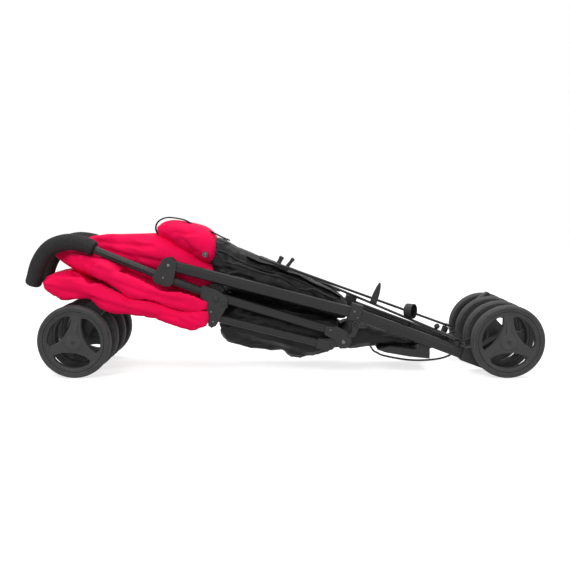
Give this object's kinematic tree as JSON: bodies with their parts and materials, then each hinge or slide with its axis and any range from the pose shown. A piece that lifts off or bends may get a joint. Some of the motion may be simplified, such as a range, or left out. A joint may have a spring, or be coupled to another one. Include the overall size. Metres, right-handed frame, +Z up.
{
  "type": "pushchair",
  "caption": "Folding umbrella pushchair in its folded state, with hooked foam handles, twin wheels, red folded canopy and black seat.",
  "frame": {"origin": "on the floor, under the middle of the folded package", "axes": "+X from the handles to the rear wheels, +Y to the pushchair's right side, +Z up"},
  "size_m": [1.0755, 0.231, 0.317],
  "materials": {
    "tube_paint": "satin black powder coat",
    "grip_foam": "matt closed-cell foam",
    "moulded_plastic": "fine spark texture",
    "wheel_plastic": "satin grey",
    "tyre_foam": "matt foam rubber",
    "red_fabric": "plain woven polyester",
    "black_fabric": "plain woven polyester",
    "steel_wire": "black enamel"
  },
  "bodies": {
    "left_frame": {"handle_tube_left": "tube_paint", "grip_left": "grip_foam", "seat_tube_left": "tube_paint", "fold_bracket_left": "moulded_plastic", "hub_plate_left": "moulded_plastic", "knee_fork_left": "moulded_plastic", "canopy_top_panel": "red_fabric", "canopy_rear_panel": "red_fabric", "seat_back_head": "red_fabric", "seat_back": "black_fabric", "seat_pad": "black_fabric"},
    "right_frame": {"handle_tube_right": "tube_paint", "grip_right": "grip_foam", "seat_tube_right": "tube_paint", "fold_bracket_right": "moulded_plastic", "hub_plate_right": "moulded_plastic", "knee_fork_right": "moulded_plastic"},
    "left_rear_leg": {"rear_leg_left": "tube_paint", "leg_clamp_left": "moulded_plastic", "rear_housing_left": "moulded_plastic", "brace_mount_left": "moulded_plastic", "footrest": "moulded_plastic", "basket_wire": "steel_wire", "parcel_basket": "black_fabric"},
    "right_rear_leg": {"rear_leg_right": "tube_paint", "leg_clamp_right": "moulded_plastic", "rear_housing_right": "moulded_plastic", "brace_mount_right": "moulded_plastic"},
    "left_front_leg": {"front_leg_left": "tube_paint", "knee_knuckle_left": "moulded_plastic", "caster_socket_left": "moulded_plastic"},
    "right_front_leg": {"front_leg_right": "tube_paint", "knee_knuckle_right": "moulded_plastic", "caster_socket_right": "moulded_plastic"},
    "left_caster": {"caster_fork_left": "moulded_plastic"},
    "right_caster": {"caster_fork_right": "moulded_plastic"},
    "canopy_left": {"canopy_clip_left": "moulded_plastic", "canopy_front_panel": "red_fabric"},
    "canopy_right": {"canopy_clip_right": "moulded_plastic"},
    "left_brace": {"cross_brace_left": "tube_paint"},
    "right_brace": {"cross_brace_right": "tube_paint"},
    "lever": {"release_lever": "moulded_plastic"},
    "latch": {"latch_hook": "moulded_plastic"},
    "pedal": {"brake_pedal": "moulded_plastic"},
    "rear_left_outer_wheel": {"rear_wheel_left_outer_rim": "wheel_plastic", "rear_wheel_left_outer_tyre": "tyre_foam"},
    "rear_left_inner_wheel": {"rear_wheel_left_inner_rim": "wheel_plastic", "rear_wheel_left_inner_tyre": "tyre_foam"},
    "rear_right_outer_wheel": {"rear_wheel_right_outer_rim": "wheel_plastic", "rear_wheel_right_outer_tyre": "tyre_foam"},
    "rear_right_inner_wheel": {"rear_wheel_right_inner_rim": "wheel_plastic", "rear_wheel_right_inner_tyre": "tyre_foam"},
    "front_left_outer_wheel": {"front_wheel_left_outer_rim": "wheel_plastic", "front_wheel_left_outer_tyre": "tyre_foam"},
    "front_left_inner_wheel": {"front_wheel_left_inner_rim": "wheel_plastic", "front_wheel_left_inner_tyre": "tyre_foam"},
    "front_right_outer_wheel": {"front_wheel_right_outer_rim": "wheel_plastic", "front_wheel_right_outer_tyre": "tyre_foam"},
    "front_right_inner_wheel": {"front_wheel_right_inner_rim": "wheel_plastic", "front_wheel_right_inner_tyre": "tyre_foam"}
  },
  "joints": [
    {"name": "frame_fold", "type": "hinge", "parent": "left_frame", "child": "left_rear_leg", "pos_m": [-0.23155, -0.069, 0.2289], "axis": [0, -1, 0], "range_deg": [0, 35]},
    {"name": "front_leg_fold", "type": "hinge", "parent": "left_frame", "child": "left_front_leg", "pos_m": [0.12885, -0.069, 0.0696], "axis": [0, -1, 0], "range_deg": [0, 157.05]},
    {"name": "frame_spread", "type": "slide", "parent": "left_frame", "child": "right_frame", "axis": [0, 1, 0], "range_m": [0, 0.2602]},
    {"name": "rear_spread", "type": "slide", "parent": "left_rear_leg", "child": "right_rear_leg", "axis": [0, 1, 0], "range_m": [0, 0.2602]},
    {"name": "front_spread", "type": "slide", "parent": "left_front_leg", "child": "right_front_leg", "axis": [0, 1, 0], "range_m": [0, 0.2602]},
    {"name": "canopy_open", "type": "hinge", "parent": "left_frame", "child": "canopy_left", "pos_m": [-0.13525, 0, 0.175], "axis": [0, -1, 0], "range_deg": [0, 95.05], "deforming": ["canopy_front_panel"]},
    {"name": "canopy_spread", "type": "slide", "parent": "canopy_left", "child": "canopy_right", "axis": [0, 1, 0], "range_m": [0, 0.2602]},
    {"name": "left_brace_swing", "type": "hinge", "parent": "left_rear_leg", "child": "left_brace", "pos_m": [0.37098, -0.06667, 0.0721], "axis": [-0.3642, 0, -0.9313], "range_deg": [0, 40.05]},
    {"name": "right_brace_swing", "type": "hinge", "parent": "right_rear_leg", "child": "right_brace", "pos_m": [0.37426, 0.06667, 0.08048], "axis": [0.3642, 0, 0.9313], "range_deg": [0, 40.05]},
    {"name": "lever_press", "type": "hinge", "parent": "left_brace", "child": "lever", "pos_m": [0.20022, -0.00966, 0.14939], "axis": [0, 1, 0], "range_deg": [0, 25], "stiffness_Nm_per_rad": 0.4},
    {"name": "latch_swing", "type": "hinge", "parent": "left_rear_leg", "child": "latch", "pos_m": [0.15355, -0.069, 0.106], "axis": [0, -1, 0], "range_deg": [0, 60]},
    {"name": "brake_press", "type": "hinge", "parent": "right_rear_leg", "child": "pedal", "pos_m": [0.40775, 0.069, 0.083], "axis": [0, 1, 0], "range_deg": [0, 15]},
    {"name": "left_caster_swivel", "type": "hinge", "parent": "left_front_leg", "child": "left_caster", "pos_m": [-0.34725, -0.069, 0.172], "axis": [0.7604, 0, 0.6494], "range_deg": [-10, 10]},
    {"name": "right_caster_swivel", "type": "hinge", "parent": "right_front_leg", "child": "right_caster", "pos_m": [-0.34725, 0.069, 0.172], "axis": [0.7604, 0, 0.6494], "range_deg": [-10, 10]},
    {"name": "rear_left_outer_spin", "type": "hinge", "parent": "left_rear_leg", "child": "rear_left_outer_wheel", "pos_m": [0.46275, -0.102, 0.075], "axis": [0, 1, 0], "continuous": true},
    {"name": "rear_left_inner_spin", "type": "hinge", "parent": "left_rear_leg", "child": "rear_left_inner_wheel", "pos_m": [0.46275, -0.036, 0.075], "axis": [0, 1, 0], "continuous": true},
    {"name": "rear_right_outer_spin", "type": "hinge", "parent": "right_rear_leg", "child": "rear_right_outer_wheel", "pos_m": [0.46275, 0.102, 0.075], "axis": [0, 1, 0], "continuous": true},
    {"name": "rear_right_inner_spin", "type": "hinge", "parent": "right_rear_leg", "child": "rear_right_inner_wheel", "pos_m": [0.46275, 0.036, 0.075], "axis": [0, 1, 0], "continuous": true},
    {"name": "front_left_outer_spin", "type": "hinge", "parent": "left_caster", "child": "front_left_outer_wheel", "pos_m": [-0.42225, -0.102, 0.075], "axis": [0, 1, 0], "continuous": true},
    {"name": "front_left_inner_spin", "type": "hinge", "parent": "left_caster", "child": "front_left_inner_wheel", "pos_m": [-0.42225, -0.036, 0.075], "axis": [0, 1, 0], "continuous": true},
    {"name": "front_right_outer_spin", "type": "hinge", "parent": "right_caster", "child": "front_right_outer_wheel", "pos_m": [-0.42225, 0.102, 0.075], "axis": [0, 1, 0], "continuous": true},
    {"name": "front_right_inner_spin", "type": "hinge", "parent": "right_caster", "child": "front_right_inner_wheel", "pos_m": [-0.42225, 0.036, 0.075], "axis": [0, 1, 0], "continuous": true}
  ],
  "couplings": [
    {"joint": "front_leg_fold", "follows": "frame_fold", "ratio": 4.4857},
    {"joint": "frame_spread", "follows": "frame_fold", "m_per_rad": 0.42563},
    {"joint": "rear_spread", "follows": "frame_fold", "m_per_rad": 0.42563},
    {"joint": "front_spread", "follows": "frame_fold", "m_per_rad": 0.42563},
    {"joint": "canopy_open", "follows": "frame_fold", "ratio": 2.7143},
    {"joint": "canopy_spread", "follows": "frame_fold", "m_per_rad": 0.42563},
    {"joint": "left_brace_swing", "follows": "frame_fold", "ratio": 1.1429},
    {"joint": "right_brace_swing", "follows": "frame_fold", "ratio": 1.1429}
  ]
}
